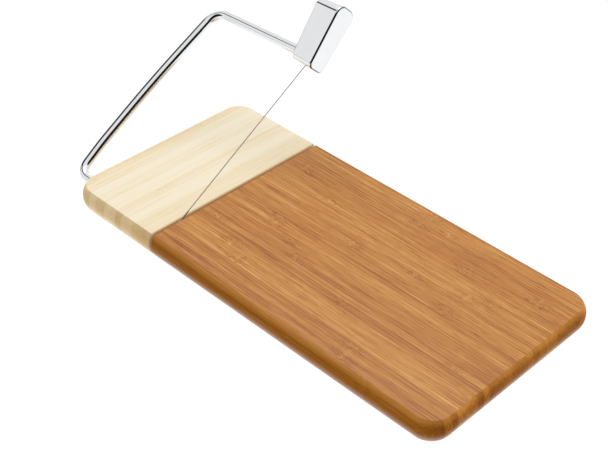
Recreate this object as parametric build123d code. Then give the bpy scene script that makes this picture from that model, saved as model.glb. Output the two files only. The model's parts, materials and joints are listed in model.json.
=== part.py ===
from build123d import *
import math
import os

# Cheese wire cutter: a two-tone bamboo board, split by a slot, with a hinged bow that holds a taut wire.
#
# Frame: origin at the middle of the board's flat top, +X along the board towards its dark end,
# +Y towards the side that the handle comes down beside, +Z up. Millimetres.
# At rest the bow stands part-way open, at BOW_ANGLE above level.
# A place called "from the pale end" is measured along X from the board's outer end on the pale side.

# ---- driving dimensions: board ----
BOARD_LENGTH = 304.8          # 12 in
BOARD_WIDTH = 149.0           # 5 7/8 in
BOARD_THICKNESS = 20.0
CORNER_RADIUS = 15.1          # corners seen from above, at the widest level
TOP_INSET = 2.7               # the top face's edge, in from the widest level
GIRTH_DEPTH = 7.1             # the widest level, below the top
TOP_EDGE_ROUND = 0.5          # the top face's edge, barely broken
UNDER_ROUND = 12.0            # deep finger round along the bottom
LIGHT_LENGTH = 75.4           # pale board, from its outer end to the slot
SLOT_WIDTH = 2.2              # gap between the two boards, the wire's cutting slot
SLOT_EDGE = 0.4               # tiny bevel along the slot's top edges

# ---- driving dimensions: dowels that join the boards ----
DOWEL_DIAMETER = 6.0
DOWEL_LENGTH = 40.0
DOWEL_HEIGHT = 6.5            # axis above the underside, well below the wire
DOWEL_SPACING = 36.0
DOWEL_COUNT = 3
DOWEL_END_GAP = 1.0           # room for glue at each blind end

# ---- driving dimensions: feet and their screws ----
FOOT_DIAMETER = 15.0
FOOT_TIP_DIAMETER = 13.0
FOOT_TIP_ROUND = 0.8
FOOT_HEIGHT = 3.5
FOOT_INSET = 24.0             # foot centre in from each edge of the board
SCREW_DIAMETER = 3.0
SCREW_GRIP = 8.0              # length in the wood
SCREW_HEAD_DIAMETER = 5.6
SCREW_HEAD_HEIGHT = 1.6
SCREW_HEAD_ROUND = 0.6
SCREW_SLOT_WIDTH = 0.8
SCREW_SLOT_DEPTH = 0.6
HEAD_RECESS_DIAMETER = 6.6
HEAD_RECESS_DEPTH = 2.3

# ---- driving dimensions: bow ----
ROD_DIAMETER = 6.6
BORE_CLEARANCE = 0.05         # radial, so the rod turns in the wood
PIVOT_FROM_FRONT = 16.4       # hinge axis behind the board's front edge
PIVOT_BELOW_TOP = 6.85
ROD_IN_DARK_BOARD = 14.0      # the hinge leg's length beyond the slot
PIVOT_BORE_GAP = 1.0          # the bore's blind end, past the rod
ARM_OUTSIDE = 15.75           # arm centreline outside the board's pale end
LOW_CORNER_OUTSIDE = 14.1     # the bow's corner at the hinge, outside the same end
CORNER_OUTSIDE = 11.8         # its corner at the upper leg
LOW_SWELL = 24.0              # along the bow, where the arm has swung fully out
HIGH_SWELL = 79.0             # along the bow, where it starts to come in again
ARM_LENGTH = 144.0            # hinge axis to the upper corner
BOW_REACH = 146.7             # hinge axis to the upper leg's axis in the wire's plane
LOW_BEND = 9.0                # bend radii of the rod's centreline
HIGH_BEND = 11.0
LOW_SWELL_BEND = 160.0        # the two gentle curves in the arm
HIGH_SWELL_BEND = 900.0
BOW_ANGLE = 31.8              # bow above level at rest, degrees
ROD_END_CHAMFER = 0.5

# ---- driving dimensions: wire ----
WIRE_DIAMETER = 0.6
WIRE_HOLE_DIAMETER = 1.1      # cross holes in the rod
TWIST_DIAMETER = 1.3          # where the wire's tail is wound back on itself
TWIST_END = 18.8              # hinge axis to the end of the tail
LOOP_GAP = 0.05               # between the rod and what bears on it
FERRULE_DIAMETER = 2.6
FERRULE_LENGTH = 3.5

# ---- driving dimensions: handle ----
HANDLE_LOW_WIDTH = 15.9
HANDLE_TOP_WIDTH = 20.0
HANDLE_LOW_ROUND = 4.3        # corners of the lower end
HANDLE_TOP_ROUND = 6.4        # corners of the upper end
HANDLE_BELOW_ROD = 7.5        # the rod's axis to the lower end
HANDLE_OFFSET = 0.9           # the handle's middle, in front of the rod's axis
HANDLE_LENGTH = 45.1
HANDLE_TILT = 48.3            # long axis above level at rest, degrees
HANDLE_END = 83.2             # outer end face, from the pale end
HANDLE_LOW_THICKNESS = 17.8   # along the rod, at the lower end
HANDLE_TOP_THICKNESS = 20.8   # along the rod, at the upper end
HANDLE_DRAFT = 3.0            # the body's sides draw in by this angle away from the cap, degrees
HANDLE_EDGE = 1.2
HANDLE_WALL = 2.2
CAP_THICKNESS = 2.0
CAP_LIP = 2.0                 # rim that plugs into the body
CAP_LIP_WALL = 1.2
LIP_CLEARANCE = 0.1
BOSS_RADIUS = 6.0             # socket for the rod inside the handle
SOCKET_END = 72.5             # the socket's inner end, from the pale end
ROD_TIP = 78.8                # the rod's upper tip, from the pale end
WIRE_EXIT_DIAMETER = 1.8      # hole in the handle's lower wall
SET_SCREW_DIAMETER = 4.0
SET_SCREW_LENGTH = 4.0
SET_SCREW_SOCKET = 2.0        # hex across flats
SET_SCREW_PLACE = 69.0        # from the pale end

# ---- derived places ----
PALE_END_X = -BOARD_LENGTH / 2
DARK_END_X = BOARD_LENGTH / 2
SLOT_START_X = PALE_END_X + LIGHT_LENGTH
SLOT_END_X = SLOT_START_X + SLOT_WIDTH
WIRE_X = (SLOT_START_X + SLOT_END_X) / 2
PIVOT_Y = -BOARD_WIDTH / 2 + PIVOT_FROM_FRONT
PIVOT_Z = -PIVOT_BELOW_TOP
UNDERSIDE_Z = -BOARD_THICKNESS
SOLE_Z = UNDERSIDE_Z - FOOT_HEIGHT
HEAD_RECESS_Z = SOLE_Z + HEAD_RECESS_DEPTH
SCREW_TIP_Z = UNDERSIDE_Z + SCREW_GRIP
HINGE_TIP_X = SLOT_END_X + ROD_IN_DARK_BOARD
ROD_RADIUS = ROD_DIAMETER / 2
ARM_X = PALE_END_X - ARM_OUTSIDE
LOW_CORNER_X = PALE_END_X - LOW_CORNER_OUTSIDE
CORNER_X = PALE_END_X - CORNER_OUTSIDE
ROD_TIP_X = PALE_END_X + ROD_TIP
HANDLE_END_X = PALE_END_X + HANDLE_END
CAP_SEAM_X = HANDLE_END_X - CAP_THICKNESS
OVERSHOOT = 5.0               # how far a cutting tool runs past what it cuts
UP_FROM_BASE = (Align.CENTER, Align.CENTER, Align.MIN)


# ---- places on the bow, whose plane rises from the hinge axis ----
def bow_point(x, along, above=0.0):
    """A point of the bow: along the wire from the hinge axis, and above the bow's plane."""
    turn = math.radians(BOW_ANGLE)
    y = PIVOT_Y + along * math.cos(turn) - above * math.sin(turn)
    z = PIVOT_Z + along * math.sin(turn) + above * math.cos(turn)
    return Vector(x, y, z)


def upper_leg_point(x):
    """A point on the upper leg's axis, which flares away from the hinge as it nears the handle."""
    flare = (BOW_REACH - ARM_LENGTH) / (WIRE_X - CORNER_X)
    return bow_point(x, ARM_LENGTH + flare * (x - CORNER_X))


def up_the_wire():
    """The wire's direction, away from the hinge."""
    return bow_point(0, 1) - bow_point(0, 0)


# ---- plain cylinders ----
def cylinder_along_x(radius, start_x, end_x, y, z):
    base = Plane(origin=(start_x, y, z), z_dir=(1, 0, 0))
    return base * Cylinder(radius, end_x - start_x, align=UP_FROM_BASE)


def upright_cylinder(radius, x, y, low, high):
    return Pos(x, y, low) * Cylinder(radius, high - low, align=UP_FROM_BASE)


def cylinder_along_wire(radius, start, end):
    """A cylinder about the wire, between two distances from the hinge axis."""
    base = Plane(origin=bow_point(WIRE_X, start), x_dir=(1, 0, 0), z_dir=up_the_wire())
    return base * Cylinder(radius, end - start, align=UP_FROM_BASE)


# ---- boards ----
def whole_board():
    """Both boards as one slab: its sides swell out below the top face, then round deeply under."""
    side_round = (GIRTH_DEPTH**2 + TOP_INSET**2) / (2 * TOP_INSET)
    crown = side_round - GIRTH_DEPTH
    outline = Pos(0, 0, UNDERSIDE_Z) * RectangleRounded(BOARD_LENGTH, BOARD_WIDTH, CORNER_RADIUS)
    slab = extrude(outline, BOARD_THICKNESS + crown)
    slab = fillet(slab.faces().sort_by(Axis.Z)[-1].edges(), side_round)
    slab = fillet(slab.faces().sort_by(Axis.Z)[0].edges(), UNDER_ROUND)
    slab -= Pos(0, 0, crown) * Box(2 * BOARD_LENGTH, 2 * BOARD_WIDTH, 2 * crown)
    return fillet(slab.faces().sort_by(Axis.Z)[-1].edges(), TOP_EDGE_ROUND)


def dowels(end_gap=0.0):
    """The glued dowels, or with an end gap the blind holes that take them."""
    start_x = WIRE_X - DOWEL_LENGTH / 2 - end_gap
    end_x = WIRE_X + DOWEL_LENGTH / 2 + end_gap
    z = UNDERSIDE_Z + DOWEL_HEIGHT
    first_y = -DOWEL_SPACING * (DOWEL_COUNT - 1) / 2
    rows = [first_y + i * DOWEL_SPACING for i in range(DOWEL_COUNT)]
    return [cylinder_along_x(DOWEL_DIAMETER / 2, start_x, end_x, y, z) for y in rows]


def foot_places():
    """Each foot's node name and centre."""
    x = BOARD_LENGTH / 2 - FOOT_INSET
    y = BOARD_WIDTH / 2 - FOOT_INSET
    return {
        "foot_front_left": (-x, -y),
        "foot_front_right": (x, -y),
        "foot_back_left": (-x, y),
        "foot_back_right": (x, y),
    }


def board(start_x, end_x, slot_face_x):
    """One board of the pair, between two X planes, with its bores and its slot edge bevelled."""
    middle = ((start_x + end_x) / 2, 0, UNDERSIDE_Z / 2)
    keep = Pos(middle) * Box(end_x - start_x, 2 * BOARD_WIDTH, 2 * BOARD_THICKNESS)
    piece = whole_board() & keep
    top_edges = piece.faces().sort_by(Axis.Z)[-1].edges()
    slot_edge = top_edges.sort_by_distance((slot_face_x, 0, 0))[0]
    piece = chamfer(slot_edge, SLOT_EDGE)
    bore_radius = ROD_RADIUS + BORE_CLEARANCE
    piece -= cylinder_along_x(
        bore_radius, PALE_END_X - OVERSHOOT, HINGE_TIP_X + PIVOT_BORE_GAP, PIVOT_Y, PIVOT_Z
    )
    for dowel_hole in dowels(DOWEL_END_GAP):
        piece -= dowel_hole
    for x, y in foot_places().values():
        piece -= upright_cylinder(SCREW_DIAMETER / 2, x, y, UNDERSIDE_Z - OVERSHOOT, SCREW_TIP_Z)
    return piece.solid()


# ---- feet and their screws ----
def foot(x, y):
    """A rubber bumper with a recess that swallows its screw's head."""
    cone = Cone(FOOT_TIP_DIAMETER / 2, FOOT_DIAMETER / 2, FOOT_HEIGHT, align=UP_FROM_BASE)
    body = Pos(x, y, SOLE_Z) * cone
    body = fillet(body.edges().group_by(Axis.Z)[0], FOOT_TIP_ROUND)
    body -= upright_cylinder(HEAD_RECESS_DIAMETER / 2, x, y, SOLE_Z - OVERSHOOT, HEAD_RECESS_Z)
    body -= upright_cylinder(SCREW_DIAMETER / 2, x, y, SOLE_Z, UNDERSIDE_Z + OVERSHOOT)
    return body.solid()


def foot_screw(x, y):
    """A slotted pan-head screw, head down in the foot's recess."""
    head_low = HEAD_RECESS_Z - SCREW_HEAD_HEIGHT
    head = upright_cylinder(SCREW_HEAD_DIAMETER / 2, x, y, head_low, HEAD_RECESS_Z)
    head = fillet(head.edges().group_by(Axis.Z)[0], SCREW_HEAD_ROUND)
    head -= Pos(x, y, head_low) * Box(2 * SCREW_HEAD_DIAMETER, SCREW_SLOT_WIDTH, 2 * SCREW_SLOT_DEPTH)
    shank = upright_cylinder(SCREW_DIAMETER / 2, x, y, HEAD_RECESS_Z, SCREW_TIP_Z)
    return (head + shank).solid()


# ---- bow rod ----
def bow_rod():
    """One bent rod: hinge leg under the board's top, arm outside its end, upper leg into the handle."""
    corners = [
        bow_point(HINGE_TIP_X, 0),
        bow_point(LOW_CORNER_X, 0),
        bow_point(ARM_X, LOW_SWELL),
        bow_point(ARM_X, HIGH_SWELL),
        bow_point(CORNER_X, ARM_LENGTH),
        upper_leg_point(ROD_TIP_X),
    ]
    path = FilletPolyline(*corners, radius=[LOW_BEND, LOW_SWELL_BEND, HIGH_SWELL_BEND, HIGH_BEND])
    start = Plane(origin=path @ 0, z_dir=path % 0)
    rod = sweep(start * Circle(ROD_RADIUS), path)
    rod = chamfer(rod.faces().filter_by(GeomType.PLANE).edges(), ROD_END_CHAMFER)
    for along in (0.0, BOW_REACH):
        rod -= cylinder_along_wire(WIRE_HOLE_DIAMETER / 2, along - ROD_DIAMETER, along + ROD_DIAMETER)
    return rod.solid()


def upper_leg_core():
    """The upper leg's own straight cylinder, which bores its socket in the handle."""
    near = upper_leg_point(CORNER_X)
    far = upper_leg_point(HANDLE_END_X)
    base = Plane(origin=near, z_dir=far - near)
    return base * Cylinder(ROD_RADIUS, (far - near).length, align=UP_FROM_BASE)


# ---- wire ----
def cutting_wire():
    """The taut wire, with its lower end taken round the rod and wound back on itself."""
    wire_radius = WIRE_DIAMETER / 2
    loop_radius = ROD_RADIUS + LOOP_GAP + wire_radius
    straight = cylinder_along_wire(wire_radius, -loop_radius, BOW_REACH + ROD_RADIUS + FERRULE_LENGTH)
    twist = cylinder_along_wire(TWIST_DIAMETER / 2, ROD_RADIUS + LOOP_GAP, TWIST_END)
    side = Plane(origin=bow_point(WIRE_X, 0), x_dir=up_the_wire(), z_dir=(1, 0, 0))
    loop = side * Torus(loop_radius, wire_radius, major_angle=180, align=None)
    return (straight + loop + twist).solid()


def wire_ferrule():
    """The crimped sleeve that stops the wire behind the rod's tip."""
    start = BOW_REACH + ROD_RADIUS + LOOP_GAP
    end = start + FERRULE_LENGTH
    sleeve = cylinder_along_wire(FERRULE_DIAMETER / 2, start, end)
    sleeve -= cylinder_along_wire(WIRE_DIAMETER / 2, start - OVERSHOOT, end + OVERSHOOT)
    return sleeve.solid()


# ---- handle ----
def handle_plane(x):
    """The plane of the handle's outline at X: its x axis runs up the handle, its origin is on the rod."""
    rise = math.radians(HANDLE_TILT)
    up_the_handle = (0, math.cos(rise), math.sin(rise))
    return Plane(origin=bow_point(x, BOW_REACH), x_dir=up_the_handle, z_dir=(1, 0, 0))


def handle_outline(inset):
    """A bar with rounded corners, a little wider at the top."""
    low_x = inset - HANDLE_BELOW_ROD
    top_x = HANDLE_LENGTH - HANDLE_BELOW_ROD - inset
    low_y = HANDLE_LOW_WIDTH / 2 - inset
    top_y = HANDLE_TOP_WIDTH / 2 - inset
    bar = make_face(Polyline((low_x, low_y), (top_x, top_y), (top_x, -top_y), (low_x, -low_y), close=True))
    bar = fillet(bar.vertices().group_by(Axis.X)[-1], HANDLE_TOP_ROUND - inset)
    bar = fillet(bar.vertices().group_by(Axis.X)[0], HANDLE_LOW_ROUND - inset)
    return Pos(0, -HANDLE_OFFSET) * bar


def handle_slab(outer_x, length, inset=0.0, draft=0.0):
    """The handle's outline, run inwards along X from outer_x, with its sides drawn in by the draft."""
    return extrude(handle_plane(outer_x) * handle_outline(inset), -length, taper=draft)


def beyond_inner_side(depth=0.0):
    """What lies beyond the handle's inner side, or beyond a wall's depth inside it; the side leans."""
    lean = math.degrees(math.atan((HANDLE_TOP_THICKNESS - HANDLE_LOW_THICKNESS) / HANDLE_LENGTH))
    side = handle_plane(HANDLE_END_X - HANDLE_LOW_THICKNESS + depth).rotated((0, -lean, 0))
    span = 3 * HANDLE_LENGTH
    return side * Box(span, span, span, align=(Align.CENTER, Align.CENTER, Align.MAX))


def handle_body():
    """The cast body: open towards the cap, with a socket for the rod and a set screw hole."""
    outer = handle_slab(CAP_SEAM_X, HANDLE_TOP_THICKNESS, 0, HANDLE_DRAFT) - beyond_inner_side()
    outer = fillet(outer.faces().sort_by(Axis.X)[0].edges(), HANDLE_EDGE)
    pocket = handle_slab(CAP_SEAM_X, HANDLE_TOP_THICKNESS, HANDLE_WALL, HANDLE_DRAFT)
    pocket -= beyond_inner_side(HANDLE_WALL)
    boss_axis = bow_point(0, BOW_REACH)
    boss_start_x = HANDLE_END_X - HANDLE_TOP_THICKNESS
    boss = cylinder_along_x(BOSS_RADIUS, boss_start_x, PALE_END_X + SOCKET_END, boss_axis.Y, boss_axis.Z)
    body = outer - (pocket - boss)
    body -= upper_leg_core()
    body -= cylinder_along_wire(WIRE_EXIT_DIAMETER / 2, BOW_REACH - 2 * HANDLE_BELOW_ROD, BOW_REACH)
    body -= set_screw_seat() * Cylinder(SET_SCREW_DIAMETER / 2, HANDLE_TOP_WIDTH, align=UP_FROM_BASE)
    return body.solid()


def handle_cap():
    """The end plate that closes the handle, with a lip that plugs into the body."""
    plate = handle_slab(HANDLE_END_X, CAP_THICKNESS)
    plate = fillet(plate.faces().sort_by(Axis.X)[-1].edges(), HANDLE_EDGE)
    lip_inset = HANDLE_WALL + LIP_CLEARANCE
    lip = handle_slab(CAP_SEAM_X, CAP_LIP, lip_inset, HANDLE_DRAFT)
    lip -= handle_slab(CAP_SEAM_X, CAP_LIP, lip_inset + CAP_LIP_WALL, HANDLE_DRAFT)
    return (plate + lip).solid()


def set_screw_seat():
    """The plane on the rod's surface where the set screw bears, its normal away from the rod."""
    lean = math.radians(HANDLE_TILT - 90)
    away = Vector(0, math.cos(lean), math.sin(lean))
    return Plane(origin=upper_leg_point(PALE_END_X + SET_SCREW_PLACE) + away * ROD_RADIUS, z_dir=away)


def handle_set_screw():
    """A socket set screw that holds the handle on the rod."""
    seat = set_screw_seat()
    screw = seat * Cylinder(SET_SCREW_DIAMETER / 2, SET_SCREW_LENGTH, align=UP_FROM_BASE)
    flats = RegularPolygon(SET_SCREW_SOCKET / 2, 6, major_radius=False)
    screw -= extrude(seat.offset(SET_SCREW_LENGTH / 2) * flats, SET_SCREW_LENGTH)
    return screw.solid()


# ---- every sub-part by name ----
NODES = {
    "light_board": board(PALE_END_X, SLOT_START_X, SLOT_START_X),
    "dark_board": board(SLOT_END_X, DARK_END_X, SLOT_END_X),
    "joint_dowels": Compound(dowels()),
    "foot_screws": Compound([foot_screw(x, y) for x, y in foot_places().values()]),
    "bow_rod": bow_rod(),
    "cutting_wire": cutting_wire(),
    "wire_ferrule": wire_ferrule(),
    "handle_body": handle_body(),
    "handle_cap": handle_cap(),
    "handle_set_screw": handle_set_screw(),
}
for foot_name, (foot_x, foot_y) in foot_places().items():
    NODES[foot_name] = foot(foot_x, foot_y)

os.makedirs("parts", exist_ok=True)
for node, shape in NODES.items():
    export_step(shape, f"parts/{node}.step")
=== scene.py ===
import json
import math

import bpy
from mathutils import Matrix, Vector


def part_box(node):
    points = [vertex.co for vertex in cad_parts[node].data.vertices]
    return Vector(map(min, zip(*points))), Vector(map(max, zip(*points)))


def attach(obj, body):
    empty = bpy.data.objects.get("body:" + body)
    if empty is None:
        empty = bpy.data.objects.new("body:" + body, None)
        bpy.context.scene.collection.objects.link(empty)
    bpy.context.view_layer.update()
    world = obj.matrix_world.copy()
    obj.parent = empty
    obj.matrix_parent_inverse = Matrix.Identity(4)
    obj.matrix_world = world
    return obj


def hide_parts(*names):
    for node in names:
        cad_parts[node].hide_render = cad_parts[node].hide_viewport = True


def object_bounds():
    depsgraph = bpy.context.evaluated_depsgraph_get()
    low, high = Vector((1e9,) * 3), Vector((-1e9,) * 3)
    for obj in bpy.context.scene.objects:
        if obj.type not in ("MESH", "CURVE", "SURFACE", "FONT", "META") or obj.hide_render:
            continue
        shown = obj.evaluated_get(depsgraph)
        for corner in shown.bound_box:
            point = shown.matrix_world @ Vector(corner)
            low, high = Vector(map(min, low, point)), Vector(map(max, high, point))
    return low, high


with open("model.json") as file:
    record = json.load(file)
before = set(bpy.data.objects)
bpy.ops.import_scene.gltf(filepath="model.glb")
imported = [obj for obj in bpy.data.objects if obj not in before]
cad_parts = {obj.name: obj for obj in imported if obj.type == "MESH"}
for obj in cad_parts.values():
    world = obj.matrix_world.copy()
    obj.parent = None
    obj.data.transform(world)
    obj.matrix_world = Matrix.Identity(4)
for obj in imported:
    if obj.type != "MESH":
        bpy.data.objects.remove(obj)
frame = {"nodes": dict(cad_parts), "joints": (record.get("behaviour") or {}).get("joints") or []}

# A cheese wire cutter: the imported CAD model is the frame, in metres, +X towards the board's dark end, +Z up.
# Here it gets its materials, its twisted wire, a plain stage, soft studio light and the camera.

CAD_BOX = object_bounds()
MM = 0.001


def srgb(red, green, blue):
    """A colour from 0 to 255 as the linear colour that shaders take."""
    def linear(value):
        v = value / 255
        return v / 12.92 if v <= 0.04045 else ((v + 0.055) / 1.055) ** 2.4
    return (linear(red), linear(green), linear(blue), 1.0)


# ---- a short way to write node graphs ----
class Graph:
    """The node graph of a material or a world. Every method gives back an output socket."""

    def __init__(self, owner):
        owner.use_nodes = True
        self.tree = owner.node_tree
        self.tree.nodes.clear()

    def node(self, kind, **settings):
        made = self.tree.nodes.new(kind)
        for name, value in settings.items():
            setattr(made, name, value)
        return made

    def feed(self, socket, value):
        """Sets a plain value on a socket, or links another node's output to it."""
        if isinstance(value, bpy.types.NodeSocket):
            self.tree.links.new(value, socket)
        elif value is not None:
            socket.default_value = value

    def math(self, operation, a, b=None, c=None, clamp=False):
        made = self.node("ShaderNodeMath", operation=operation, use_clamp=clamp)
        for socket, value in zip(made.inputs, (a, b, c)):
            self.feed(socket, value)
        return made.outputs[0]

    def add(self, a, b):
        return self.math("ADD", a, b)

    def times(self, a, b):
        return self.math("MULTIPLY", a, b)

    def step(self, value, low, high, out_low=0.0, out_high=1.0):
        """A smooth step from out_low to out_high while value goes from low to high."""
        made = self.node("ShaderNodeMapRange", interpolation_type="SMOOTHSTEP")
        for socket, fed in zip(made.inputs, (value, low, high, out_low, out_high)):
            self.feed(socket, fed)
        return made.outputs[0]

    def band(self, value, low, high, soft):
        """1 between low and high, 0 outside, with soft edges."""
        rise = self.step(value, low - soft, low + soft)
        fall = self.step(value, high - soft, high + soft, 1.0, 0.0)
        return self.times(rise, fall)

    def split(self, vector):
        made = self.node("ShaderNodeSeparateXYZ")
        self.feed(made.inputs[0], vector)
        return made.outputs[0], made.outputs[1], made.outputs[2]

    def join(self, x, y, z):
        made = self.node("ShaderNodeCombineXYZ")
        for socket, value in zip(made.inputs, (x, y, z)):
            self.feed(socket, value)
        return made.outputs[0]

    def noise(self, vector, scale, detail=2.0, roughness=0.5, distortion=0.0):
        made = self.node("ShaderNodeTexNoise")
        self.feed(made.inputs["Vector"], vector)
        self.feed(made.inputs["Scale"], scale)
        self.feed(made.inputs["Detail"], detail)
        self.feed(made.inputs["Roughness"], roughness)
        self.feed(made.inputs["Distortion"], distortion)
        return made.outputs["Fac"]

    def random(self, value, seed):
        """A random number from 0 to 1 for each whole value."""
        made = self.node("ShaderNodeTexWhiteNoise", noise_dimensions="2D")
        self.feed(made.inputs["Vector"], self.join(value, seed, 0.0))
        return made.outputs["Value"]

    def mix(self, factor, a, b, blend="MIX"):
        made = self.node("ShaderNodeMix", data_type="RGBA", blend_type=blend)
        self.feed(made.inputs[0], factor)
        self.feed(made.inputs[6], a)
        self.feed(made.inputs[7], b)
        return made.outputs[2]

    def ramp(self, value, *stops):
        """Colours along a value: each stop is (place, colour)."""
        made = self.node("ShaderNodeValToRGB")
        self.feed(made.inputs[0], value)
        elements = made.color_ramp.elements
        while len(elements) < len(stops):
            elements.new(0.5)
        for element, (place, colour) in zip(elements, stops):
            element.position = place
            element.color = colour
        return made.outputs[0]

    def bump(self, height, distance, strength=1.0):
        made = self.node("ShaderNodeBump")
        self.feed(made.inputs["Height"], height)
        self.feed(made.inputs["Distance"], distance)
        self.feed(made.inputs["Strength"], strength)
        return made.outputs["Normal"]

    def place(self):
        """The point in the row frame, in millimetres, as x, y, z."""
        here = self.node("ShaderNodeTexCoord").outputs["Object"]
        scaled = self.node("ShaderNodeVectorMath", operation="SCALE")
        self.feed(scaled.inputs[0], here)
        self.feed(scaled.inputs["Scale"], 1 / MM)
        return self.split(scaled.outputs[0])

    def facing(self):
        """The surface normal in the row frame, as x, y, z."""
        return self.split(self.node("ShaderNodeTexCoord").outputs["Normal"])

    def surface(self, **inputs):
        """The finished principled surface. Input names use underscores for spaces."""
        shader = self.node("ShaderNodeBsdfPrincipled")
        for name, value in inputs.items():
            self.feed(shader.inputs[name.replace("_", " ")], value)
        output = self.node("ShaderNodeOutputMaterial")
        self.tree.links.new(shader.outputs[0], output.inputs["Surface"])


def new_material(name):
    material = bpy.data.materials.new(name)
    return material, Graph(material)


def dress(node, material):
    """Gives a CAD node its Blender material."""
    node_object = frame["nodes"][node]
    node_object.data.materials.clear()
    node_object.data.materials.append(material)


# ---- bamboo ----
SLOT_WALL_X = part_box("light_board")[1].x / MM
STRIP_DRIFT = 2.2              # how unevenly the strips are wide, in strips
STRIP_DRIFT_SCALE = 0.045
NEAR_NODE = (2.0, 13.0)        # millimetres from a growth node over which its tangle fades
AT_NODE = (0.3, 1.8)
NODE_PUSH = 6.0                # how far a node pushes the fibres sideways, millimetres
STRIP_OFFSET = 300.0           # keeps one strip's fibres unlike the next one's
GLUE_WIDTH = 0.06              # of a strip
GLUE_DEPTH = 0.22
SIDE_TURN = (0.78, 0.97)       # how upright the normal is where the top turns into a side
END_TURN = (0.35, 0.9)         # the same, where a side turns into end grain
UNDER_TURN = (-0.42, -0.02)
# painted shade: a side's colour grows darker from just under the top downwards
SIDE_SHADE_FADE = (-4.5, -0.3)        # millimetres below the top over which a side grows darker
# painted light: the depth under the top over which the slot wall's emission fades
SLOT_PAINTED_LIGHT_DEPTH = (-2.6, -0.4)
GRAIN_RELIEF = 0.05 * MM
# each layer of grain: its frequency along and across the fibres per millimetre, then its detail, roughness
# and distortion
GRAIN = {
    "tangle": (0.22, 0.5, 3.0, 0.5, 0.0),
    "long": (0.010, 0.75, 4.0, 0.72, 0.0),
    "fine": (0.030, 1.3, 3.0, 0.7, 0.0),
    "dash": (0.12, 2.2, 2.0, 0.6, 0.0),
    "broad": (0.012, 0.03, 2.0, 0.5, 0.0),
    "line": (0.0016, 0.95, 2.0, 0.6, 0.0),
    "squiggle": (0.45, 1.0, 2.0, 0.7, 1.8),
}


def grain(g, layer, along, across, z):
    """One layer of grain, stretched along the fibres."""
    lengthways, crossways, detail, roughness, distortion = GRAIN[layer]
    place = g.join(g.times(along, lengthways), g.times(across, crossways), g.times(z, crossways))
    return g.noise(place, 1.0, detail, roughness, distortion)


def centred(g, value):
    """A value from 0 to 1, moved to lie round 0."""
    return g.math("SUBTRACT", value, 0.5)


def growth_nodes(g, along, shift, spacing):
    """How near a point is to its strip's nearest growth node: a wide and a narrow band."""
    cycle = g.math("FRACT", g.add(g.times(along, 1 / spacing), g.times(shift, 7.0)))
    distance = g.math("ABSOLUTE", g.times(centred(g, cycle), spacing))
    return g.step(distance, *NEAR_NODE, 1.0, 0.0), g.step(distance, *AT_NODE, 1.0, 0.0)


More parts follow.
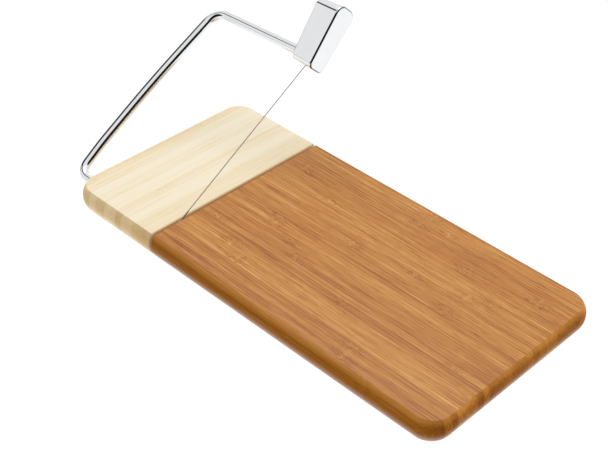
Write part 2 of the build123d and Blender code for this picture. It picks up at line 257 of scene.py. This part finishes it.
def bamboo(name, grain_axis, look):
    """Bamboo glued up from upright strips whose grain runs along grain_axis.

    Each strip has its own tone, fine fibres along the grain, and growth nodes where the fibres tangle.
    """
    material, g = new_material(name)
    x, y, z = g.place()
    nx, ny, nz = g.facing()
    along, across, facing_along = (x, y, nx) if grain_axis == "X" else (y, x, ny)
    contrast = look["contrast"]

    # strips of uneven width, each with its own tone, and a little darker towards one edge
    drift = g.noise(g.join(across, 0.0, 0.0), STRIP_DRIFT_SCALE, 1.0)
    strip_place = g.add(g.times(across, 1 / look["strip_width"]), g.times(drift, STRIP_DRIFT))
    strip = g.math("FLOOR", strip_place)
    inside = g.math("FRACT", strip_place)
    tone = centred(g, g.random(strip, 3.0))
    lean = g.times(centred(g, g.random(strip, 17.0)), centred(g, inside))
    shift = g.random(strip, 11.0)
    near_node, at_node = growth_nodes(g, along, shift, look["node_spacing"])

    # fibres: long and thin, pushed sideways near a node
    tangle = grain(g, "tangle", along, across, z)
    push = g.times(g.times(centred(g, tangle), near_node), NODE_PUSH)
    bent = g.add(g.add(across, push), g.times(shift, STRIP_OFFSET))
    long_fibre = grain(g, "long", along, bent, z)
    fine_fibre = grain(g, "fine", along, bent, z)
    dashes = g.step(grain(g, "dash", along, bent, z), 0.55, 0.70)
    broad = grain(g, "broad", along, across, z)

    value = g.add(0.5, g.times(g.add(g.times(tone, look["strip_contrast"]), g.times(lean, 0.5)), contrast))
    layers = (
        (long_fibre, look["long_contrast"]),
        (fine_fibre, look["fine_contrast"]),
        (broad, look["broad_contrast"]),
    )
    for part, weight in layers:
        value = g.add(value, g.times(centred(g, part), weight * contrast))
    value = g.math("SUBTRACT", value, g.times(dashes, look["dash_contrast"] * contrast))
    lines = g.step(grain(g, "line", along, across, z), 0.54, 0.66)
    value = g.math("SUBTRACT", value, g.times(lines, look["line_contrast"]))
    knots = g.times(g.step(grain(g, "squiggle", along, across, z), 0.48, 0.60), near_node)
    value = g.math("SUBTRACT", value, g.times(knots, 0.30 * look["node_strength"]))
    value = g.add(value, g.times(at_node, 0.12 * look["node_strength"]))

    # glue lines between strips, some stronger than others
    edge = g.math("MINIMUM", inside, g.math("SUBTRACT", 1.0, inside))
    glue = g.times(g.step(edge, 0.0, GLUE_WIDTH, 1.0, 0.0), g.random(strip, 29.0))
    value = g.math("SUBTRACT", value, g.times(glue, GLUE_DEPTH * contrast), clamp=True)

    colour = g.ramp(value, *look["tones"])
    if look["outer_strip"] is not None:
        low, high = look["outer_strip"]
        outer = g.step(across, low - 0.8, high + 0.8, 1.0, 0.0)
        colour = g.mix(outer, colour, g.mix(1.0, colour, look["outer_tint"], "MULTIPLY"))

    # the rounded sides: smoother, with painted shade that makes them deeper in colour than the top and lighter
    # next to it, glossy where they turn under
    side = g.step(nz, *SIDE_TURN, 1.0, 0.0)
    painted_side_shade, painted_side_light = look["painted_side_shade_colours"]
    shaded_side_colour = g.mix(0.6, colour, g.mix(g.step(z, *SIDE_SHADE_FADE), painted_side_shade, painted_side_light))
    colour = g.mix(side, colour, shaded_side_colour)
    end_grain = g.step(g.math("ABSOLUTE", facing_along), *END_TURN)
    speck = g.noise(g.join(g.times(across, 0.9), g.times(z, 0.35), g.times(along, 0.9)), 1.0, 3.0, 0.7)
    end_tone = g.add(g.add(0.5, g.times(tone, 0.8)), g.times(centred(g, speck), 1.2))
    end_colour = g.ramp(end_tone, *zip((0.0, 0.5, 1.0), look["end_tones"]))
    colour = g.mix(end_grain, colour, g.mix(1.0, colour, end_colour, "MULTIPLY"))
    under = g.step(nz, *UNDER_TURN, 1.0, 0.0)
    gloss = g.add(look["top_gloss"], g.times(side, look["side_gloss"] - look["top_gloss"]))
    gloss = g.add(gloss, g.times(under, 1.0 - look["side_gloss"]))

    # painted light: the slot's own wall is given a warm emission that stands in for light bouncing between the
    # two boards, fading with depth
    slot_wall_light = g.times(g.step(x, SLOT_WALL_X - 0.4, SLOT_WALL_X - 0.1), g.step(nx, 0.6, 0.9))
    slot_wall_light = g.times(slot_wall_light, g.step(z, *SLOT_PAINTED_LIGHT_DEPTH))

    relief = g.add(g.times(long_fibre, 0.5), g.times(fine_fibre, 0.5))
    relief = g.math("SUBTRACT", relief, g.times(glue, 0.6))
    g.surface(
        Base_Color=colour,
        Roughness=g.step(fine_fibre, 0.3, 0.7, 0.26, 0.40),
        Specular_IOR_Level=gloss,
        Normal=g.bump(relief, GRAIN_RELIEF),
        IOR=1.5,
        # painted light: the emission that makes the slot's wall glow
        Emission_Color=srgb(214, 180, 104),
        Emission_Strength=g.times(slot_wall_light, look["painted_slot_light"]),
    )
    return material


DARK_BAMBOO = {
    "tones": (
        (0.0, srgb(154, 84, 8)),
        (0.30, srgb(181, 108, 26)),
        (0.52, srgb(197, 129, 48)),
        (0.75, srgb(213, 148, 68)),
        (1.0, srgb(232, 173, 98)),
    ),
    "strip_width": 6.4,
    "node_spacing": 190.0,
    "contrast": 1.0,
    "strip_contrast": 0.30,
    "long_contrast": 1.3,
    "fine_contrast": 1.8,
    "dash_contrast": 0.34,
    "line_contrast": 0.10,
    "broad_contrast": 0.12,
    "node_strength": 1.0,
    "outer_strip": None,
    # painted shade on the sides: the darker colour low on a side, the lighter one next to the top
    "painted_side_shade_colours": (srgb(152, 88, 8), srgb(224, 154, 76)),
    "end_tones": ((0.66, 0.58, 0.45, 1.0), (1.0, 0.96, 0.90, 1.0), (1.2, 1.2, 1.15, 1.0)),
    "top_gloss": 0.42,
    "side_gloss": 0.03,
    "painted_slot_light": 0.0,
}
LIGHT_BAMBOO = {
    "tones": (
        (0.0, srgb(226, 186, 130)),
        (0.30, srgb(245, 222, 178)),
        (0.52, srgb(253, 240, 212)),
        (1.0, srgb(255, 247, 228)),
    ),
    "strip_width": 6.8,
    "node_spacing": 260.0,
    "contrast": 0.62,
    "strip_contrast": 0.30,
    "long_contrast": 0.8,
    "fine_contrast": 0.5,
    "dash_contrast": 0.10,
    "line_contrast": 0.16,
    "broad_contrast": 0.14,
    "node_strength": 0.5,
    "outer_strip": (-153.0, -139.0),
    "outer_tint": (0.985, 0.945, 0.87, 1.0),
    # painted shade on the sides: the darker colour low on a side, the lighter one next to the top
    "painted_side_shade_colours": (srgb(250, 220, 166), srgb(254, 234, 192)),
    "end_tones": ((0.78, 0.66, 0.48, 1.0), (0.92, 0.82, 0.66, 1.0), (1.0, 0.95, 0.84, 1.0)),
    "top_gloss": 0.35,
    "side_gloss": 0.05,
    "painted_slot_light": 0.30,
}
DOWEL_BAMBOO = {
    **LIGHT_BAMBOO,
    "strip_width": 40.0,
    "outer_strip": None,
    "node_strength": 0.1,
    "painted_slot_light": 0.0,
}

dress("dark_board", bamboo("carbonised_bamboo", "X", DARK_BAMBOO))
dress("light_board", bamboo("natural_bamboo", "Y", LIGHT_BAMBOO))
dress("joint_dowels", bamboo("dowel_wood", "X", DOWEL_BAMBOO))


# ---- metals and rubber ----
# painted reflection: a near-black band on the rounded rim of the handle's end cap stands in for the dark
# reflection the rim picks up
RIM_FACING = (0.30, 0.975)     # the X part of the normal on the rounded edge of an end face
PAINTED_RIM_REFLECTION_COLOUR = (0.02, 0.02, 0.02, 1.0)


def chrome(name, tint, wear, rim_reflection=0.0):
    """Polished plating: a faint haze, hairline marks, and a painted dark reflection round the rim of an end
    that faces X.
    """
    material, g = new_material(name)
    x, y, z = g.place()
    haze = g.noise(g.join(x, y, z), 0.12, 3.0)
    hairline = g.noise(g.join(g.times(x, 6.0), g.times(y, 0.7), g.times(z, 0.7)), 1.0, 2.0)
    roughness = g.add(g.step(haze, 0.35, 0.75, 0.03, 0.03 + wear), g.times(hairline, 0.02))
    colour = g.mix(g.step(haze, 0.4, 0.8), tint, tuple(0.97 * c for c in tint[:3]) + (1.0,))
    # painted reflection: the rim's colour is darkened towards near-black
    if rim_reflection:
        facing_end, _, _ = g.facing()
        painted_rim_reflection = g.band(facing_end, *RIM_FACING, 0.02)
        colour = g.mix(g.times(painted_rim_reflection, rim_reflection), colour, PAINTED_RIM_REFLECTION_COLOUR)
    g.surface(
        Base_Color=colour,
        Metallic=1.0,
        Roughness=roughness,
        Normal=g.bump(hairline, 0.002 * MM),
    )
    return material


def drawn_steel(name, tint, roughness_range):
    """Bare steel with drawing marks."""
    material, g = new_material(name)
    x, y, z = g.place()
    marks = g.noise(g.join(g.times(x, 9.0), g.times(y, 2.0), g.times(z, 9.0)), 1.0, 3.0)
    g.surface(
        Base_Color=g.mix(marks, tint, tuple(0.72 * c for c in tint[:3]) + (1.0,)),
        Metallic=1.0,
        Roughness=g.step(marks, 0.3, 0.7, *roughness_range),
        Normal=g.bump(marks, 0.01 * MM),
    )
    return material


def rubber(name):
    """Dark moulded rubber with a fine pebble and a dusty bloom."""
    material, g = new_material(name)
    x, y, z = g.place()
    here = g.join(x, y, z)
    pebble = g.noise(here, 3.5, 3.0, 0.6)
    bloom = g.noise(here, 0.25, 3.0)
    g.surface(
        Base_Color=g.mix(g.step(bloom, 0.4, 0.75), srgb(36, 36, 37), srgb(58, 57, 56)),
        Roughness=g.step(pebble, 0.3, 0.7, 0.62, 0.8),
        Normal=g.bump(pebble, 0.05 * MM),
    )
    return material


bow_chrome = chrome("bow_chrome", (0.83, 0.84, 0.85, 1.0), 0.05)
handle_chrome = chrome("handle_chrome", (0.85, 0.86, 0.87, 1.0), 0.03)
cap_chrome = chrome("cap_chrome", (0.85, 0.86, 0.87, 1.0), 0.03, 0.75)
wire_steel = drawn_steel("wire_steel", (0.46, 0.43, 0.40, 1.0), (0.22, 0.38))
screw_steel = drawn_steel("screw_steel", (0.60, 0.60, 0.61, 1.0), (0.28, 0.45))
brass = drawn_steel("ferrule_brass", (0.75, 0.55, 0.22, 1.0), (0.25, 0.4))
foot_rubber = rubber("foot_rubber")

dress("bow_rod", bow_chrome)
dress("handle_body", handle_chrome)
dress("handle_cap", cap_chrome)
dress("handle_set_screw", screw_steel)
dress("foot_screws", screw_steel)
dress("wire_ferrule", brass)
for foot in ("foot_front_left", "foot_front_right", "foot_back_left", "foot_back_right"):
    dress(foot, foot_rubber)


# ---- the wire: one strand, taken round the rod and wound back on itself ----
HINGE = next(j for j in frame["joints"] if j["name"] == "bow_hinge")
PIVOT = Vector(HINGE["pos_m"])
BOW_RISE = math.radians(-HINGE["range_deg"][0])      # the wire is level at the hinge's lower limit
UP_WIRE = Vector((0, math.cos(BOW_RISE), math.sin(BOW_RISE)))
ACROSS_WIRE = Vector((0, -math.sin(BOW_RISE), math.cos(BOW_RISE)))
SIDEWAYS = Vector((1, 0, 0))
WIRE_RADIUS = 0.3 * MM
ROD_SURFACE = 3.35 * MM
TWIST_START = 4.4 * MM
TWIST_END = 18.6 * MM
TWIST_TURN = 3.4 * MM
TWIST_SPREAD = 1.02            # each strand's distance off the twist's middle, in wire radii
LOOP_OPENING = 0.35            # of a quarter turn, where the loop leaves the twist
LOOP_STEPS = 40


def on_wire(along, across=0.0, sideways=0.0):
    """A point along the wire from the hinge axis, moved off it square to the wire and along X."""
    return PIVOT + UP_WIRE * along + ACROSS_WIRE * across + SIDEWAYS * sideways


def strand(name, points, radius, sides=10):
    """A round wire swept along a smooth line, as a mesh with rounded, closed ends."""
    curve = bpy.data.curves.new(name, "CURVE")
    curve.dimensions = "3D"
    curve.bevel_depth = radius
    curve.bevel_resolution = sides // 4
    curve.use_fill_caps = True
    spline = curve.splines.new("POLY")
    spline.points.add(len(points) - 1)
    for point, place in zip(spline.points, points):
        point.co = (*place, 1.0)
    holder = bpy.data.objects.new(name, curve)
    bpy.context.scene.collection.objects.link(holder)
    mesh = bpy.data.meshes.new_from_object(holder.evaluated_get(bpy.context.evaluated_depsgraph_get()))
    bpy.data.objects.remove(holder)
    bpy.data.curves.remove(curve)
    mesh.name = name
    mesh.shade_smooth()
    piece = bpy.data.objects.new(name, mesh)
    bpy.context.scene.collection.objects.link(piece)
    return piece


def helix(phase, start, end, steps_per_turn=18):
    """One strand of the twist, from start to end along the wire."""
    turns = (end - start) / TWIST_TURN
    count = max(2, int(turns * steps_per_turn))
    points = []
    offset = WIRE_RADIUS * TWIST_SPREAD
    for i in range(count + 1):
        part = i / count
        angle = phase + 2 * math.pi * turns * part
        along = start + (end - start) * part
        points.append(on_wire(along, offset * math.sin(angle), offset * math.cos(angle)))
    return points


def wire():
    """The wire: down from the handle, through the twist, round the rod and back up to its cut end."""
    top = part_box("cutting_wire")[1].z
    length = (top - PIVOT.z) / math.sin(BOW_RISE) - WIRE_RADIUS
    loop_radius = ROD_SURFACE + WIRE_RADIUS
    main_start = on_wire(TWIST_END + 2 * MM)
    down = [on_wire(length), main_start]
    main = down + list(reversed(helix(0.0, TWIST_START, TWIST_END)))
    loop = []
    for i in range(LOOP_STEPS + 1):
        part = i / LOOP_STEPS
        angle = math.pi / 2 * LOOP_OPENING + (2 * math.pi - math.pi * LOOP_OPENING) * part
        drift = WIRE_RADIUS * (1 - 2 * part)
        loop.append(on_wire(loop_radius * math.cos(angle), loop_radius * math.sin(angle), drift))
    tail = helix(math.pi, TWIST_START, TWIST_END - 0.6 * MM)
    return strand("cutting_wire_strand", main + loop + tail, WIRE_RADIUS)


wire_piece = wire()
wire_piece.data.materials.append(wire_steel)
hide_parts("cutting_wire")
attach(wire_piece, "bow")


# ---- stage ----
FLOOR_HALF_SIZE = 6.0


def floor():
    """A plain white floor under the feet."""
    half = FLOOR_HALF_SIZE
    height = CAD_BOX[0].z
    mesh = bpy.data.meshes.new("floor")
    corners = [(-half, -half), (half, -half), (half, half), (-half, half)]
    mesh.from_pydata([(x, y, height) for x, y in corners], [], [(0, 1, 2, 3)])
    plane = bpy.data.objects.new("floor", mesh)
    bpy.context.scene.collection.objects.link(plane)
    material, g = new_material("floor_white")
    g.surface(
        Base_Color=(0.07, 0.07, 0.07, 1.0),
        Roughness=0.9,
        Specular_IOR_Level=0.1,
        Emission_Color=(1.0, 1.0, 1.0, 1.0),
        Emission_Strength=1.0,
    )
    mesh.materials.append(material)


floor()


# ---- light: a white studio all round, dark behind the camera, with a dark gap between two panels ----
# azimuths and elevations are in degrees, in the row frame
BASE_LIGHT = 0.90
TOP_PANEL = 1.3
TOP_PANEL_AZIMUTH = (15.0, 120.0)
TOP_PANEL_ELEVATION = (50.0, 78.0)
DARK_SIDE_AZIMUTH = (-118.0, 26.0)
DARK_SIDE_ELEVATION = (-80.0, 48.0)
DARK_SIDE_DEPTH = 0.985
GAP_MIDDLE = -182.0            # its azimuth at GAP_MIDDLE_ELEVATION
GAP_MIDDLE_ELEVATION = 12.0
GAP_LEAN = 25.0 / 35.0         # degrees of azimuth per degree of elevation
GAP_HALF_WIDTH = 11.0
GAP_ELEVATION = (6.0, 52.0)
GAP_DEPTH = 0.95
LINE_AZIMUTH = (-205.0, -122.0)
LINE_ELEVATION = (-2.0, 3.5)
THICK_LINE_AZIMUTH = (-198.0, -158.0)
THICK_LINE_ELEVATION = (2.0, 15.0)
LINE_DEPTH = 0.80


def studio():
    world = bpy.data.worlds.new("studio")
    bpy.context.scene.world = world
    g = Graph(world)
    direction = g.node("ShaderNodeTexCoord").outputs["Generated"]
    x, y, z = g.split(direction)
    elevation = g.times(g.math("ARCSINE", z), 180 / math.pi)
    azimuth = g.times(g.math("ARCTAN2", y, x), 180 / math.pi)

    panel_across = g.band(azimuth, *TOP_PANEL_AZIMUTH, 12.0)
    top_panel = g.times(panel_across, g.band(elevation, *TOP_PANEL_ELEVATION, 6.0))
    light = g.add(BASE_LIGHT, g.times(top_panel, TOP_PANEL - BASE_LIGHT))
    # behind the camera: dark from one wall to the other
    dark_across = g.band(azimuth, *DARK_SIDE_AZIMUTH, 4.0)
    dark_side = g.times(dark_across, g.band(elevation, *DARK_SIDE_ELEVATION, 2.0))
    light = g.times(light, g.math("SUBTRACT", 1.0, g.times(dark_side, DARK_SIDE_DEPTH)))
    # the gap: a dark strip that leans from low at the back left to high at the left
    turned = g.add(azimuth, g.step(azimuth, 99.0, 101.0, 0.0, -360.0))
    above_middle = g.math("SUBTRACT", elevation, GAP_MIDDLE_ELEVATION)
    middle = g.add(GAP_MIDDLE, g.times(above_middle, GAP_LEAN))
    off = g.math("SUBTRACT", turned, middle)
    gap = g.times(g.band(off, -GAP_HALF_WIDTH, GAP_HALF_WIDTH, 3.0), g.band(elevation, *GAP_ELEVATION, 3.0))
    light = g.times(light, g.math("SUBTRACT", 1.0, g.times(gap, GAP_DEPTH)))

    # the far edge of the room: a thin dark line at the horizon, thicker at the back left
    line = g.times(g.band(turned, *LINE_AZIMUTH, 4.0), g.band(elevation, *LINE_ELEVATION, 1.0))
    thick = g.times(g.band(turned, *THICK_LINE_AZIMUTH, 4.0), g.band(elevation, *THICK_LINE_ELEVATION, 2.0))
    horizon = g.math("MAXIMUM", line, thick)
    light = g.times(light, g.math("SUBTRACT", 1.0, g.times(horizon, LINE_DEPTH)))

    background = g.node("ShaderNodeBackground")
    g.feed(background.inputs["Color"], (1.0, 1.0, 1.0, 1.0))
    g.feed(background.inputs["Strength"], light)
    output = g.node("ShaderNodeOutputWorld")
    g.tree.links.new(background.outputs[0], output.inputs["Surface"])


studio()


def area_light(name, place, target, size, power):
    data = bpy.data.lights.new(name, "AREA")
    data.shape = "DISK"
    data.size = size
    data.energy = power
    lamp = bpy.data.objects.new(name, data)
    lamp.location = place
    lamp.rotation_euler = (Vector(target) - Vector(place)).to_track_quat("-Z", "Y").to_euler()
    bpy.context.scene.collection.objects.link(lamp)


area_light("overhead_soft_light", (-0.5, 0.5, 1.6), (0, 0, 0), 1.2, 8.5)


# ---- camera ----
CAMERA_PLACE = Vector((0.41534, -0.46058, 0.49002))
CAMERA_YAW = 0.75238           # turned left from looking along +Y, radians
CAMERA_PITCH = 0.66007         # looking down
CAMERA_ROLL = 0.03457
CAMERA_LENS = 75.96            # millimetres on a 36 mm wide sensor


def camera():
    yaw, pitch = CAMERA_YAW, CAMERA_PITCH
    forward = Vector((-math.sin(yaw) * math.cos(pitch), math.cos(yaw) * math.cos(pitch), -math.sin(pitch)))
    level_right = Vector((math.cos(yaw), math.sin(yaw), 0))
    level_up = level_right.cross(forward)
    right = level_right * math.cos(CAMERA_ROLL) + level_up * math.sin(CAMERA_ROLL)
    up = level_up * math.cos(CAMERA_ROLL) - level_right * math.sin(CAMERA_ROLL)
    data = bpy.data.cameras.new("camera")
    data.sensor_width = 36.0
    data.lens = CAMERA_LENS
    data.clip_start = 0.01
    view = bpy.data.objects.new("camera", data)
    turn = Matrix((right, up, -forward)).transposed()
    view.matrix_world = Matrix.Translation(CAMERA_PLACE) @ turn.to_4x4()
    bpy.context.scene.collection.objects.link(view)
    bpy.context.scene.camera = view


camera()
bpy.context.scene.view_settings.view_transform = "Standard"
